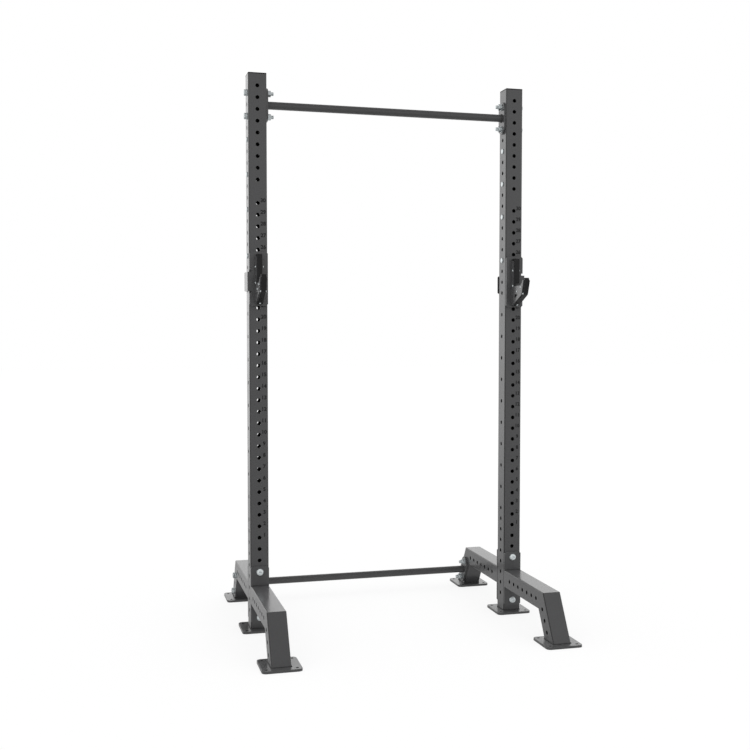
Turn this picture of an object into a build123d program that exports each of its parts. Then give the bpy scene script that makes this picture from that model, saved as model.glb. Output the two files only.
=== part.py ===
from build123d import *
import os
from math import atan2, cos, degrees, hypot, radians, sin, sqrt

# Free-standing squat stand with a pull-up bar: two drilled uprights on foot plates, a bolted half
# base in front of and behind each upright, two cross bars and a mirrored pair of twist-in J-hooks.
# Millimetres. +Z is up, -Y is the front, where the hooks face, and +X is the right seen from there.
# The origin lies on the floor, midway between the uprights.

# Square tube of the uprights and the bases
tube_width = 80.0
tube_wall = 3.0
tube_corner = 4.5
least_corner = 1.0

# Uprights and their hole grid: front and back holes on whole levels, side holes half a level higher.
# Side holes are close together at the foot and from the hooks upwards, and on every second level
# between. Drops are levels counted down from one above the top hole.
upright_spacing = 1180.0
upright_length = 2400.0
hole_pitch = 50.0
hole_dia = 17.0
end_margin = 50.0
blank_drop = 10
low_side_levels = 8
high_side_drop = 19

# Top caps
cap_thick = 5.0
cap_skirt = 20.0
cap_wall = 3.0
cap_edge = 1.0
cap_clearance = 0.3

# Bright plugs in some side holes: one just above the J-hook's pin, the others by their drops
plug_drops = (6, 9, 12)
plug_lip = 3.0
plug_thick = 5.0
plug_edge = 1.5
plug_stem = 12.0
plug_clearance = 0.3

# Foot plates with four anchor holes
plate_size = 160.0
plate_thick = 10.0
plate_corner = 18.0
plate_edge = 1.0
anchor_margin = 20.0
anchor_dia = 13.0

# Half bases: bracket plate, level beam and splayed leg
bracket_margin = 25.0
bracket_thick = 8.0
bracket_chamfer = 8.0
bracket_levels = (0, 4)
beam_reach = 457.0
beam_hole_start = 69.0
beam_hole_end = 42.0
leg_angle = 30.0
leg_hole_start = 36.0
leg_hole_count = 3

# Cross bars and their bolted flanges
bar_dia = 33.7
bar_wall = 3.0
bar_drop = 3
flange_end = 22.5
flange_width = 66.0
flange_thick = 8.0

# M16 fasteners
bolt_clearance = 1.0
bolt_tail = 12.0
bolt_tip = 1.5
hex_shoulder = 4.0
head_height = 10.0
nut_height = 13.0
thread_gap = 0.15
washer_rim = 6.5
washer_thick = 3.0
dome_shoulder = 6.0
dome_rim = 2.0
dome_round = 7.0
socket_flats = 10.0
socket_depth = 5.0

# J-hook body: plate, liner and pin
pin_level = 31
pin_clearance = 0.1
pin_length = 50.0
pin_tip = 2.0
hook_gap = 0.3
hook_above_pin = 41.0
hook_height = 233.0
hook_thick = 8.0
hook_chamfer = 8.0
liner_thick = 4.0
liner_margin = 1.0

# J-hook strap, which goes round the outer side of the upright and behind it. It starts below the
# pin by half a tube and its twist gap, so that it passes the upright when the hook is twisted out.
strap_twist_gap = 6.0
strap_height = 81.0
strap_thick = 5.0
strap_liner = 3.0
strap_gap = 0.5
strap_bend = 8.0
strap_overhang = 3.0
strap_cap = 8.0
strap_cap_flat = 1.0

# Relief slots in the J-hook's body, above and below the bend of its strap
relief_height = 9.0
relief_depth = 9.0

# J-hook arm, seen from the side: a plastic core between two steel cheeks, each a J with a tall back.
# Reach counts out from the body plate, rise up from the hook's foot. The core stands proud all round.
core_width = 21.0
cheek_thick = 5.5
back_reach = 34.0
back_top_margin = 12.0
back_round = 6.0
saddle_rise = 106.0
saddle_round = 3.0
saddle_width = 88.0
lip_curve = 26.0
lip_height = 23.0
nose_reach = 151.0
nose_bevel = 10.0
nose_front_drop = 16.0
nose_undercut = 20.0
nose_bend_rise = 55.0
arm_foot_reach = 27.0
arm_foot_rise = 7.0
core_proud = 10.0
nose_proud = 11.0
underside_proud = 5.0
cheek_round = 4.0
window_start = 40.0
window_length = 36.0
window_rise = 58.0
window_depth = 21.0
window_lean = 3.0
window_round = 2.0

# Small screws of the J-hooks
screw_dia = 5.0
screw_gap = 0.25
screw_head_dia = 8.0
screw_head = 2.5
screw_round = 1.2
back_screw_inset = 5.0
back_screw_drop = 54.0
back_screw_lift = 2.0
lip_screw_inset = 42.0
lip_screw_drop = 7.5
web_screw_reach = 69.0
web_screw_lift = 12.5
nose_screw_inset = 6.0
nose_screw_rise = 3.5
foot_screw_margin = 9.0
foot_screw_length = 14.0

# Places worked out from the sizes above
half_tube = tube_width / 2
half_spacing = upright_spacing / 2
base_level = plate_thick + end_margin
level_count = int(round((upright_length - 2 * end_margin) / hole_pitch, 6)) + 1
top_level = level_count - 1
blank_level = level_count - blank_drop
high_side_level = min(level_count - high_side_drop, pin_level)


def level(number):
    """Height of a hole level, counted up from the lowest one; halves are side holes."""
    return base_level + number * hole_pitch


face_levels = [level(n) for n in range(level_count) if n != blank_level]
side_levels = [
    level(n + 0.5)
    for n in range(top_level)
    if n <= low_side_levels or n >= high_side_level or n % 2 == 0
]
plug_levels = [level(pin_level + 0.5)] + [level(level_count - drop + 0.5) for drop in plug_drops]
bar_height = level(level_count - bar_drop + 0.5)
bracket_bolt_heights = [level(n) for n in bracket_levels]
beam_height = sum(bracket_bolt_heights) / len(bracket_bolt_heights)
bracket_height = bracket_bolt_heights[-1] - bracket_bolt_heights[0] + 2 * bracket_margin
beam_start = half_tube + bracket_thick
beam_hole_room = beam_reach - half_tube - beam_hole_start - beam_hole_end
beam_hole_count = int(beam_hole_room / hole_pitch) + 1
beam_hole_reaches = [half_tube + beam_hole_start + i * hole_pitch for i in range(beam_hole_count)]
pin_height = level(pin_level)
slope_y = sin(radians(leg_angle))
slope_z = -cos(radians(leg_angle))
leg_hole_steps = [leg_hole_start + i * hole_pitch for i in range(leg_hole_count)]
foot_reach = beam_reach + (plate_thick - beam_height) * slope_y / slope_z
anchor_spacing = plate_size - 2 * anchor_margin
flange_length = 2 * (hole_pitch + flange_end)
bolt_dia = hole_dia - bolt_clearance
hex_flats = bolt_dia + 2 * hex_shoulder
washer_dia = hole_dia + 2 * washer_rim
dome_dia = bolt_dia + 2 * dome_shoulder
dome_height = dome_rim + dome_round
plug_dia = hole_dia + 2 * plug_lip
inner_corner = max(tube_corner - tube_wall, least_corner)
sides = (("left", -1), ("right", 1))
ends = (("front", -1), ("rear", 1))


def save(piece, name):
    """Label a finished piece and write its file."""
    piece.part.label = name
    export_step(piece.part, f"parts/{name}.step")


def square_tube():
    """Draw the hollow square section in the current sketch."""
    inside = tube_width - 2 * tube_wall
    RectangleRounded(tube_width, tube_width, tube_corner)
    RectangleRounded(inside, inside, inner_corner, mode=Mode.SUBTRACT)


def leg_place(end, step):
    """Point (Y, Z) on a leg's axis, a step down from its bend."""
    return end * (beam_reach + step * slope_y), beam_height + step * slope_z


def parallel(points, distances):
    """Polyline beside the given one, to the right of its direction, each run by its own distance."""
    runs = [(b[0] - a[0], b[1] - a[1]) for a, b in zip(points, points[1:])]
    normals = [(dy / hypot(dx, dy), -dx / hypot(dx, dy)) for dx, dy in runs]
    lines = [(nx, ny, nx * p[0] + ny * p[1] + d) for (nx, ny), p, d in zip(normals, points, distances)]
    first = (points[0][0] + distances[0] * normals[0][0], points[0][1] + distances[0] * normals[0][1])
    last = (points[-1][0] + distances[-1] * normals[-1][0], points[-1][1] + distances[-1] * normals[-1][1])
    corners = []
    for (ax, ay, a), (bx, by, b) in zip(lines, lines[1:]):
        cross = ax * by - ay * bx
        corners.append(((a * by - b * ay) / cross, (b * ax - a * bx) / cross))
    return [first, *corners, last]


def reach_at(rise, a, b):
    """Reach at a rise of the straight line through two points of the arm's side view."""
    return a[0] + (rise - a[1]) * (b[0] - a[0]) / (b[1] - a[1])


os.makedirs("parts", exist_ok=True)

# Uprights with their caps and plugs
for side, sign in sides:
    x = sign * half_spacing
    plug_face = Plane((x - half_tube, 0, 0), x_dir=(0, 1, 0), z_dir=(-1, 0, 0))

    with BuildPart() as upright:
        with BuildSketch(Plane((x, 0, plate_thick))):
            square_tube()
        extrude(amount=upright_length)
        with BuildSketch(Plane.XZ):
            with Locations(*[(x, z) for z in face_levels]):
                Circle(hole_dia / 2)
        extrude(amount=tube_width, both=True, mode=Mode.SUBTRACT)
        with BuildSketch(Plane.YZ.offset(x)):
            with Locations(*[(0, z) for z in side_levels]):
                Circle(hole_dia / 2)
        extrude(amount=tube_width, both=True, mode=Mode.SUBTRACT)
    save(upright, f"{side}_upright")

    tube_top = plate_thick + upright_length
    skirt_width = tube_width - 2 * (tube_wall + cap_clearance)
    skirt_hollow = skirt_width - 2 * cap_wall
    with BuildPart() as cap:
        with BuildSketch(Plane((x, 0, tube_top))):
            RectangleRounded(tube_width, tube_width, tube_corner)
        extrude(amount=cap_thick)
        chamfer(cap.faces().sort_by(Axis.Z)[-1].edges(), cap_edge)
        with BuildSketch(Plane((x, 0, tube_top))):
            RectangleRounded(skirt_width, skirt_width, inner_corner)
            Rectangle(skirt_hollow, skirt_hollow, mode=Mode.SUBTRACT)
        extrude(amount=-cap_skirt)
    save(cap, f"{side}_top_cap")

    with BuildPart() as plugs:
        with BuildSketch(plug_face):
            with Locations(*[(0, -z) for z in plug_levels]):
                Circle(plug_dia / 2)
        extrude(amount=plug_thick)
        fillet(plugs.edges().group_by(Axis.X)[0], plug_edge)
        with BuildSketch(plug_face):
            with Locations(*[(0, -z) for z in plug_levels]):
                Circle(hole_dia / 2 - plug_clearance)
        extrude(amount=-plug_stem)
    save(plugs, f"{side}_hole_plugs")

# Foot plates under the uprights and the legs
for side, sign in sides:
    for place, reach in (("front", -foot_reach), ("upright", 0), ("rear", foot_reach)):
        with BuildPart() as foot:
            with BuildSketch(Plane((sign * half_spacing, reach, 0))):
                RectangleRounded(plate_size, plate_size, plate_corner)
                with GridLocations(anchor_spacing, anchor_spacing, 2, 2):
                    Circle(anchor_dia / 2, mode=Mode.SUBTRACT)
            extrude(amount=plate_thick)
            fillet(foot.faces().sort_by(Axis.Z)[-1].outer_wire().edges(), plate_edge)
        save(foot, f"{side}_{place}_foot")

# Half bases: bracket plate, level beam and splayed leg, cut on one mitre plane
for side, sign in sides:
    for place, end in ends:
        x = sign * half_spacing
        bend = (x, end * beam_reach, beam_height)
        mitre = Plane(bend, x_dir=(1, 0, 0), z_dir=(0, end * (1 + slope_y), slope_z))
        upright_face = Plane((x, end * half_tube, beam_height), (1, 0, 0), (0, end, 0))

        with BuildPart() as bracket:
            with BuildSketch(upright_face) as outline:
                Rectangle(tube_width, bracket_height)
                chamfer(outline.vertices(), bracket_chamfer)
                with Locations(*[(0, z - beam_height) for z in bracket_bolt_heights]):
                    Circle(hole_dia / 2, mode=Mode.SUBTRACT)
            extrude(amount=bracket_thick)
        save(bracket, f"{side}_{place}_bracket")

        with BuildPart() as beam:
            with BuildSketch(upright_face.offset(bracket_thick)):
                square_tube()
            extrude(amount=beam_reach + tube_width - beam_start)
            with BuildSketch(Plane.YZ.offset(x)):
                with Locations(*[(end * reach, beam_height) for reach in beam_hole_reaches]):
                    Circle(hole_dia / 2)
            extrude(amount=tube_width, both=True, mode=Mode.SUBTRACT)
            split(bisect_by=mitre, keep=Keep.BOTTOM)
        save(beam, f"{side}_{place}_beam")

        above_y, above_z = leg_place(end, -tube_width)
        with BuildPart() as leg:
            with BuildSketch(Plane((x, above_y, above_z), (1, 0, 0), (0, end * slope_y, slope_z))):
                square_tube()
            extrude(amount=2 * tube_width + (plate_thick - beam_height) / slope_z)
            with BuildSketch(Plane.YZ.offset(x)):
                with Locations(*[leg_place(end, step) for step in leg_hole_steps]):
                    Circle(hole_dia / 2)
            extrude(amount=tube_width, both=True, mode=Mode.SUBTRACT)
            split(bisect_by=mitre, keep=Keep.TOP)
            split(bisect_by=Plane((x, 0, plate_thick)), keep=Keep.TOP)
        save(leg, f"{side}_{place}_leg")

# Cross bars: the pull-up bar between the uprights and the floor bar between the rear legs
middle_step = leg_hole_steps[leg_hole_count // 2]
floor_bar_y, floor_bar_z = leg_place(1, middle_step)
flange_face = half_spacing - half_tube
bar_end = flange_face - flange_thick
bars = (
    ("pull_up_bar", 0.0, bar_height, 90.0),
    ("floor_bar", floor_bar_y, floor_bar_z, degrees(atan2(slope_z, slope_y))),
)
bar_bolts = []
for name, bar_y, bar_z, tilt in bars:
    along = (hole_pitch * cos(radians(tilt)), hole_pitch * sin(radians(tilt)))
    bolt_spots = [(bar_y + s * along[0], bar_z + s * along[1]) for s in (-1, 1)]

    with BuildPart() as bar:
        with BuildSketch(Plane.YZ.offset(-bar_end)):
            with Locations((bar_y, bar_z)):
                Circle(bar_dia / 2)
                Circle(bar_dia / 2 - bar_wall, mode=Mode.SUBTRACT)
        extrude(amount=2 * bar_end)
    save(bar, name)

    for side, sign in sides:
        bar_bolts += [(sign, y, z) for y, z in bolt_spots]
        with BuildPart() as flange:
            with BuildSketch(Plane.YZ.offset(sign * flange_face)):
                with Locations((bar_y, bar_z)):
                    SlotOverall(flange_length, flange_width, rotation=tilt)
                with Locations(*bolt_spots):
                    Circle(hole_dia / 2, mode=Mode.SUBTRACT)
            extrude(amount=-sign * flange_thick)
        save(flange, f"{side}_{name}_flange")

# Fasteners. Each seat is a plane on the clamped face, with its normal pointing away from the metal.
outer_face = half_spacing + half_tube
bar_head_seats = [Plane((s * outer_face, y, z), (0, 1, 0), (s, 0, 0)) for s, y, z in bar_bolts]
bar_nut_seats = [Plane((s * bar_end, y, z), (0, 1, 0), (-s, 0, 0)) for s, y, z in bar_bolts]
bracket_spots = [(sign * half_spacing, z) for _, sign in sides for z in bracket_bolt_heights]
dome_seats = [Plane((x, -beam_start, z), (1, 0, 0), (0, -1, 0)) for x, z in bracket_spots]
dome_nut_seats = [Plane((x, beam_start, z), (1, 0, 0), (0, 1, 0)) for x, z in bracket_spots]
bar_grip = outer_face - bar_end
bracket_grip = 2 * beam_start
shank_past_grip = 2 * washer_thick + nut_height + bolt_tail

with BuildPart() as hex_bolts:
    for seat in bar_head_seats:
        away = Axis(seat.origin, seat.z_dir)
        with BuildSketch(seat.offset(washer_thick)):
            RegularPolygon(hex_flats / 2, 6, major_radius=False)
        extrude(amount=head_height)
        with BuildSketch(seat.offset(washer_thick)):
            Circle(bolt_dia / 2)
        extrude(amount=-(bar_grip + shank_past_grip))
        chamfer(hex_bolts.edges(Select.LAST).filter_by(GeomType.CIRCLE).sort_by(away)[0], bolt_tip)
save(hex_bolts, "bar_bolts")

with BuildPart() as dome_bolts:
    for seat in dome_seats:
        away = Axis(seat.origin, seat.z_dir)
        with BuildSketch(seat.offset(washer_thick)):
            Circle(dome_dia / 2)
        extrude(amount=dome_height)
        fillet(dome_bolts.edges(Select.LAST).filter_by(GeomType.CIRCLE).sort_by(away)[-1], dome_round)
        with BuildSketch(seat.offset(washer_thick + dome_height)):
            RegularPolygon(socket_flats / 2, 6, major_radius=False)
        extrude(amount=-socket_depth, mode=Mode.SUBTRACT)
        with BuildSketch(seat.offset(washer_thick)):
            Circle(bolt_dia / 2)
        extrude(amount=-(bracket_grip + shank_past_grip))
        chamfer(dome_bolts.edges(Select.LAST).filter_by(GeomType.CIRCLE).sort_by(away)[0], bolt_tip)
save(dome_bolts, "bracket_bolts")

with BuildPart() as washers:
    for seat in bar_head_seats + bar_nut_seats + dome_seats + dome_nut_seats:
        with BuildSketch(seat):
            Circle(washer_dia / 2)
            Circle(hole_dia / 2, mode=Mode.SUBTRACT)
        extrude(amount=washer_thick)
save(washers, "washers")

with BuildPart() as nuts:
    for seat in bar_nut_seats + dome_nut_seats:
        with BuildSketch(seat.offset(washer_thick)):
            RegularPolygon(hex_flats / 2, 6, major_radius=False)
            Circle(bolt_dia / 2 + thread_gap, mode=Mode.SUBTRACT)
        extrude(amount=nut_height)
save(nuts, "nuts")

# J-hooks, from the upright outwards
liner_back = half_tube + hook_gap
body_back = liner_back + liner_thick
arm_back = body_back + hook_thick
strap_inside = half_tube + strap_gap
strap_rear_inside = strap_inside + liner_thick
strap_rear_outside = strap_rear_inside + strap_thick
wing_inside = strap_inside + strap_liner
wing_outside = wing_inside + strap_thick
strap_end = -half_tube - strap_overhang + strap_cap
strap_cap_round = strap_cap - strap_cap_flat
strap_top = pin_height - half_tube - strap_twist_gap
strap_middle = strap_top - strap_height / 2
hook_top = pin_height + hook_above_pin
hook_foot = hook_top - hook_height
body_middle = (hook_top + hook_foot) / 2

# Side view of the arm, as (reach, rise): the core, then the cheeks inside its outline
half_core = core_width / 2
half_arm = half_core + cheek_thick
back_top = hook_height - back_top_margin
lip_rise = saddle_rise + lip_height
lip_inside = (back_reach + saddle_width, lip_rise)
lip_start = (lip_inside[0] - lip_curve, saddle_rise)
lip_radius = (lip_curve**2 + lip_height**2) / (2 * lip_height)
nose_tip = (nose_reach - nose_bevel, lip_rise)
nose_front = (nose_reach, lip_rise - nose_front_drop)
nose_bend = (nose_reach - nose_undercut, nose_bend_rise)
arm_foot = (arm_foot_reach, arm_foot_rise)
cheek_back = back_reach - core_proud
cheek_back_top = back_top - core_proud
cheek_saddle = saddle_rise - core_proud
cheek_top = lip_rise - core_proud
cheek_lip_fall = lip_radius - lip_height + core_proud
cheek_lip = (lip_start[0] + sqrt((lip_radius + core_proud) ** 2 - cheek_lip_fall**2), cheek_top)
cheek_start = (lip_start[0], cheek_saddle)
cheek_outside = parallel([nose_front, nose_bend, arm_foot], (nose_proud, underside_proud))
cheek_nose, cheek_bend, cheek_heel = cheek_outside
cheek_tip = (reach_at(cheek_top, cheek_nose, cheek_bend), cheek_top)
cheek_foot = (reach_at(arm_foot_rise, cheek_bend, cheek_heel), arm_foot_rise)
window_points = [
    (window_start, window_rise),
    (window_start + window_length, window_rise),
    (window_start + window_lean, window_rise - window_depth),
]
cheek_screws = [
    (cheek_back - back_screw_inset, back_top - back_screw_drop),
    (cheek_back - back_screw_inset, cheek_saddle + back_screw_lift),
    (nose_reach - lip_screw_inset, cheek_saddle - lip_screw_drop),
    (web_screw_reach, window_rise + web_screw_lift),
]
nose_screw_height = nose_bend_rise + nose_screw_rise
nose_screw = (reach_at(nose_screw_height, nose_front, nose_bend) - nose_screw_inset, nose_screw_height)


def arm_plane(x):
    """Plane of an arm's side view: reach out from the body plate, rise up from the hook's foot."""
    return Plane((x, -arm_back, hook_foot), x_dir=(0, -1, 0), z_dir=(-1, 0, 0))


def cut_reliefs(x, sign):
    """Cut the open slots above and below the strap's bend out of the current sketch."""
    slot_end = x + sign * (half_tube - relief_depth + relief_height / 2)
    for s in (-1, 1):
        z = strap_middle + s * (strap_height + relief_height) / 2
        with Locations((slot_end, z)):
            Circle(relief_height / 2, mode=Mode.SUBTRACT)
        with Locations((slot_end + sign * wing_outside / 2, z)):
            Rectangle(wing_outside, relief_height, mode=Mode.SUBTRACT)


def foot_seat(x):
    """Seat of the screw in the underside of an arm, near its foot."""
    run = hypot(nose_bend[0] - arm_foot[0], nose_bend[1] - arm_foot[1])
    out, up = (nose_bend[0] - arm_foot[0]) / run, (nose_bend[1] - arm_foot[1]) / run
    y = -arm_back - arm_foot[0] - foot_screw_margin * out
    z = hook_foot + arm_foot[1] + foot_screw_margin * up
    return Plane((x, y, z), x_dir=(1, 0, 0), z_dir=(0, -up, -out))


for side, sign in sides:
    x = sign * half_spacing
    hook = f"{side}_hook"
    strap_plane = Plane((x, 0, strap_top - strap_height), x_dir=(sign, 0, 0), z_dir=(0, 0, sign))

    with BuildPart() as body:
        with BuildSketch(Plane.XZ.offset(body_back)) as outline:
            with Locations((x, body_middle)):
                Rectangle(tube_width, hook_height)
            chamfer(outline.vertices(), hook_chamfer)
            with Locations((x + sign * wing_outside / 2, strap_middle)):
                Rectangle(wing_outside, strap_height)
            cut_reliefs(x, sign)
        extrude(amount=hook_thick)
    save(body, f"{hook}_body")

    with BuildPart() as liner:
        with BuildSketch(Plane.XZ.offset(liner_back)) as outline:
            with Locations((x, body_middle)):
                Rectangle(tube_width - 2 * liner_margin, hook_height - 2 * liner_margin)
            chamfer(outline.vertices(), hook_chamfer)
            with Locations((x, pin_height)):
                Circle(hole_dia / 2, mode=Mode.SUBTRACT)
            cut_reliefs(x, sign)
        extrude(amount=liner_thick)
    save(liner, f"{hook}_liner")

    with BuildPart() as pin:
        with BuildSketch(Plane((x, -body_back, pin_height), (1, 0, 0), (0, 1, 0))):
            Circle(hole_dia / 2 - pin_clearance)
        extrude(amount=body_back - half_tube + pin_length)
        chamfer(pin.edges().sort_by(Axis.Y)[-1], pin_tip)
    save(pin, f"{hook}_pin")

    with BuildPart() as strap:
        with BuildSketch(strap_plane) as outline:
            with BuildLine():
                Polyline(
                    (wing_inside, -body_back),
                    (wing_outside, -body_back),
                    (wing_outside, strap_rear_outside),
                    (strap_end, strap_rear_outside),
                    (strap_end, strap_rear_inside),
                    (wing_inside, strap_rear_inside),
                    close=True,
                )
            make_face()
            bend = outline.vertices().sort_by_distance((wing_outside, strap_rear_outside))[0]
            fillet(bend, strap_bend)
        extrude(amount=sign * strap_height)
    save(strap, f"{hook}_strap")

    with BuildPart() as strap_pad:
        with BuildSketch(strap_plane):
            with BuildLine():
                Polyline(
                    (strap_inside, -body_back),
                    (wing_inside, -body_back),
                    (wing_inside, strap_rear_inside),
                    (strap_end, strap_rear_inside),
                    (strap_end, strap_rear_outside),
                    (strap_end - strap_cap, strap_rear_outside),
                    (strap_end - strap_cap, strap_inside),
                    (strap_inside, strap_inside),
                    close=True,
                )
            make_face()
        extrude(amount=sign * strap_height)
        corners = strap_pad.edges().filter_by(Axis.Y).group_by(Axis.X)
        fillet(corners[-1] if sign < 0 else corners[0], strap_cap_round)
    save(strap_pad, f"{hook}_strap_liner")

    with BuildPart() as core:
        with BuildSketch(arm_plane(x)) as outline:
            with BuildLine():
                Polyline((0, arm_foot_rise), (0, back_top), (back_reach, back_top))
                Polyline((back_reach, back_top), (back_reach, saddle_rise), lip_start)
                TangentArc(lip_start, lip_inside, tangent=(1, 0))
                Polyline(lip_inside, nose_tip, nose_front, nose_bend, arm_foot, (0, arm_foot_rise))
            make_face()
            fillet(outline.vertices().sort_by_distance((back_reach, back_top))[0], back_round)
            fillet(outline.vertices().sort_by_distance((back_reach, saddle_rise))[0], saddle_round)
        extrude(amount=half_core, both=True)
        with BuildSketch(arm_plane(x)) as openings:
            Polygon(*window_points, align=None)
            fillet(openings.vertices(), window_round)
            with Locations(*cheek_screws, nose_screw):
                Circle(screw_dia / 2 + screw_gap)
        extrude(amount=half_core, both=True, mode=Mode.SUBTRACT)
        with BuildSketch(foot_seat(x)):
            Circle(screw_dia / 2 + screw_gap)
        extrude(amount=-foot_screw_length - screw_gap, mode=Mode.SUBTRACT)
    save(core, f"{hook}_core")

    with BuildPart() as cheeks:
        for face in (-1, 1):
            with BuildSketch(arm_plane(x).offset(face * half_core)) as outline:
                with BuildLine():
                    Polyline((0, arm_foot_rise), (0, cheek_back_top), (cheek_back, cheek_back_top))
                    Polyline((cheek_back, cheek_back_top), (cheek_back, cheek_saddle), cheek_start)
                    TangentArc(cheek_start, cheek_lip, tangent=(1, 0))
                    Polyline(cheek_lip, cheek_tip, cheek_bend, cheek_foot, (0, arm_foot_rise))
                make_face()
                for corner in ((cheek_back, cheek_back_top), cheek_tip):
                    fillet(outline.vertices().sort_by_distance(corner)[0], cheek_round)
            extrude(amount=face * cheek_thick)
        with BuildSketch(arm_plane(x)) as openings:
            Polygon(*window_points, align=None)
            fillet(openings.vertices(), window_round)
            with Locations(*cheek_screws):
                Circle(screw_dia / 2 + screw_gap)
        extrude(amount=half_arm, both=True, mode=Mode.SUBTRACT)
    save(cheeks, f"{hook}_cheeks")

    screw_seats = [(foot_seat(x), foot_screw_length)]
    for half_width, spots in ((half_arm, cheek_screws), (half_core, [nose_screw])):
        for face in (-1, 1):
            for reach, rise in spots:
                place = (x + face * half_width, -arm_back - reach, hook_foot + rise)
                screw_seats.append((Plane(place, (0, 1, 0), (face, 0, 0)), half_width))
    with BuildPart() as screws:
        for seat, shank in screw_seats:
            with BuildSketch(seat):
                Circle(screw_head_dia / 2)
            extrude(amount=screw_head)
            away = Axis(seat.origin, seat.z_dir)
            rim = screws.edges(Select.LAST).filter_by(GeomType.CIRCLE).sort_by(away)[-1]
            fillet(rim, screw_round)
            with BuildSketch(seat):
                Circle(screw_dia / 2)
            extrude(amount=-shank)
    save(screws, f"{hook}_screws")
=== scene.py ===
"""Looks of a free-standing squat stand with a pull-up bar and a pair of twist-in J-hooks.

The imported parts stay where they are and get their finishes. Fasteners, welds and hole numbers are
added as surfaces worked out from the frame. Metres throughout, in the frame's own axes.
"""

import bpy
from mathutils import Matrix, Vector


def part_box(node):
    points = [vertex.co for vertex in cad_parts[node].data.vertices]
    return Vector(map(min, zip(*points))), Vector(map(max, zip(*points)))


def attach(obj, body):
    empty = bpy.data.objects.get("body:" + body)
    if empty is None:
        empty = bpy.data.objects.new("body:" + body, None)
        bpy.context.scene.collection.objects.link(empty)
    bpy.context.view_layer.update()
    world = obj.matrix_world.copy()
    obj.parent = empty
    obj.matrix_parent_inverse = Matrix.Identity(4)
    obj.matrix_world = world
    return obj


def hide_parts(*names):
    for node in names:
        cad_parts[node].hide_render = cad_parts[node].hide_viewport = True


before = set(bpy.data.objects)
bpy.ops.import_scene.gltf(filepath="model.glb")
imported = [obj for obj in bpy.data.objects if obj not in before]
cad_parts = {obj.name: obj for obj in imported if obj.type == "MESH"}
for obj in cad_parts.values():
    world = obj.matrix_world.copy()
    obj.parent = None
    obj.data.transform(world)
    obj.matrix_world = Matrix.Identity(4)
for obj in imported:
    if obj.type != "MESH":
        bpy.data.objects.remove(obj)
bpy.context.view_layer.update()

from math import cos, pi, radians, sin, tan

import bpy
import numpy as np
from bpy.props import FloatProperty, FloatVectorProperty, IntProperty, PointerProperty
from bpy.types import Operator, Panel, PropertyGroup

bl_info = {
    "name": "Squat stand looks",
    "version": (1, 0, 0),
    "blender": (4, 5, 0),
    "location": "View3D > Sidebar > Stand",
    "description": "Finishes, fasteners, welds and hole numbers of a squat stand",
    "category": "Object",
}

SIDES = ("left", "right")
ENDS = ("front", "rear")
MM = 0.001

# Sizes that the frame's boxes don't give
HOLE_PITCH = 50 * MM
TUBE_WIDTH = 80 * MM
TUBE_CORNER = 4.5 * MM
LEG_SLOPE = radians(30)
WASHER_THICK = 3 * MM
BOLT_RADIUS = 8 * MM
HEX_FLATS = 24 * MM
HEAD_HEIGHT = 10 * MM
NUT_HEIGHT = 13 * MM
BOLT_TAIL = 12 * MM
BOLT_TIP = 1.5 * MM

# Plugged side holes of an upright, in levels above the lowest one
PLUG_LEVELS = (0, 4, 7, 10)

# Screws of a J-hook, in millimetres forwards of its plate and above its foot
CHEEK_SCREWS = ((19, 167), (19, 98), (109, 88.5), (69, 70.5))
NOSE_SCREWS = ((126.2, 58.5),)
UNDERSIDE = np.array(((27, 7), (131, 55)))
UNDERSIDE_SCREW = 9

# Height of a digit in Blender's own font, as a share of the font's size
DIGIT_SHARE = 0.73

# The photograph's camera: its place, how far it looks down and how far it turns to the right
CAMERA_PLACE = (-1.2673, -4.5364, 1.3179)
CAMERA_TILT = radians(2.511)
CAMERA_TURN = radians(14.92)
SENSOR_WIDTH = 36.0

# Places round a turned surface
AROUND = 48
ANGLES = 2 * pi * np.arange(AROUND) / AROUND

SMOOTH = {"interpolation_type": "SMOOTHSTEP"}


def linear(code):
    """Linear RGB of an sRGB hex colour."""
    channel = np.array([int(code[i:i + 2], 16) for i in (1, 3, 5)]) / 255
    light = np.where(channel <= 0.04045, channel / 12.92, ((channel + 0.055) / 1.055) ** 2.4)
    return tuple(light.tolist())


def corners(node):
    """Lowest and highest corner of a frame node, as arrays."""
    low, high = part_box(node)
    return np.array(low), np.array(high)


def middle(node):
    """Middle of a frame node's box."""
    low, high = corners(node)
    return (low + high) / 2


class StandSizes(PropertyGroup):
    """Sizes of what the looks add to the stand."""

    number_height: FloatProperty(
        name="Number height", description="Height of the digits beside the holes",
        default=0.0165, min=0.005, unit="LENGTH")
    number_aside: FloatProperty(
        name="Number aside", description="Middle of a number to the right of its hole",
        default=0.0225, unit="LENGTH")
    number_above: FloatProperty(
        name="Number above", description="Middle of a number above its hole",
        default=0.0125, unit="LENGTH")
    number_count: IntProperty(
        name="Numbered holes", description="How many holes of an upright carry a number", default=30, min=1)
    weld_leg: FloatProperty(
        name="Weld leg", description="Width of a weld bead on each of the two faces it joins",
        default=0.0028, min=0.001, unit="LENGTH")
    weld_ripple: FloatProperty(
        name="Weld ripple", description="Distance between the ripples of a weld bead",
        default=0.004, min=0.001, unit="LENGTH")
    thread_pitch: FloatProperty(
        name="Thread pitch", description="Pitch of the coarse M16 thread",
        default=0.002, min=0.0005, unit="LENGTH")
    lens: FloatProperty(
        name="Camera lens", description="Focal length on a 36 mm sensor",
        default=50.16, min=10, unit="CAMERA")


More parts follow.
